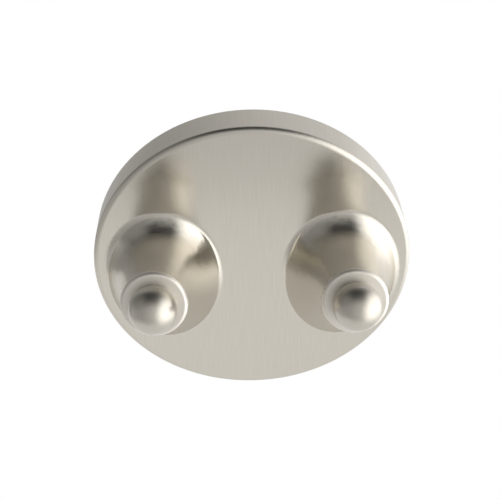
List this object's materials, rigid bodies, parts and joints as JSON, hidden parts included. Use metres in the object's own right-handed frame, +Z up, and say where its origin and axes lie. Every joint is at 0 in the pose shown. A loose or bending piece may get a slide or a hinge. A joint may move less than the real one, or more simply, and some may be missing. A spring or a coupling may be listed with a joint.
{
  "type": "robe hook",
  "caption": "Round wall plate with flared posts that lean upwards and end in a collar and ball, for hanging robes and towels; sits on a hidden bracket held by a set screw.",
  "frame": {"origin": "centre of the round plate on the wall plane, midway between the bracket's wall screw holes", "axes": "+Z up the wall, the front faces -Y, +X to the right seen from the front, +Y into the wall"},
  "size_m": [0.076, 0.0413, 0.076],
  "materials": {
    "satin_nickel": "brushed satin nickel plating on die-cast zinc",
    "plain_zinc": "plain die-cast zinc, tumbled, unplated",
    "black_steel": "black oxide on hardened steel"
  },
  "bodies": {
    "root": {"hook_body": "satin_nickel", "wall_bracket": "plain_zinc", "set_screw": "black_steel"}
  },
  "joints": []
}
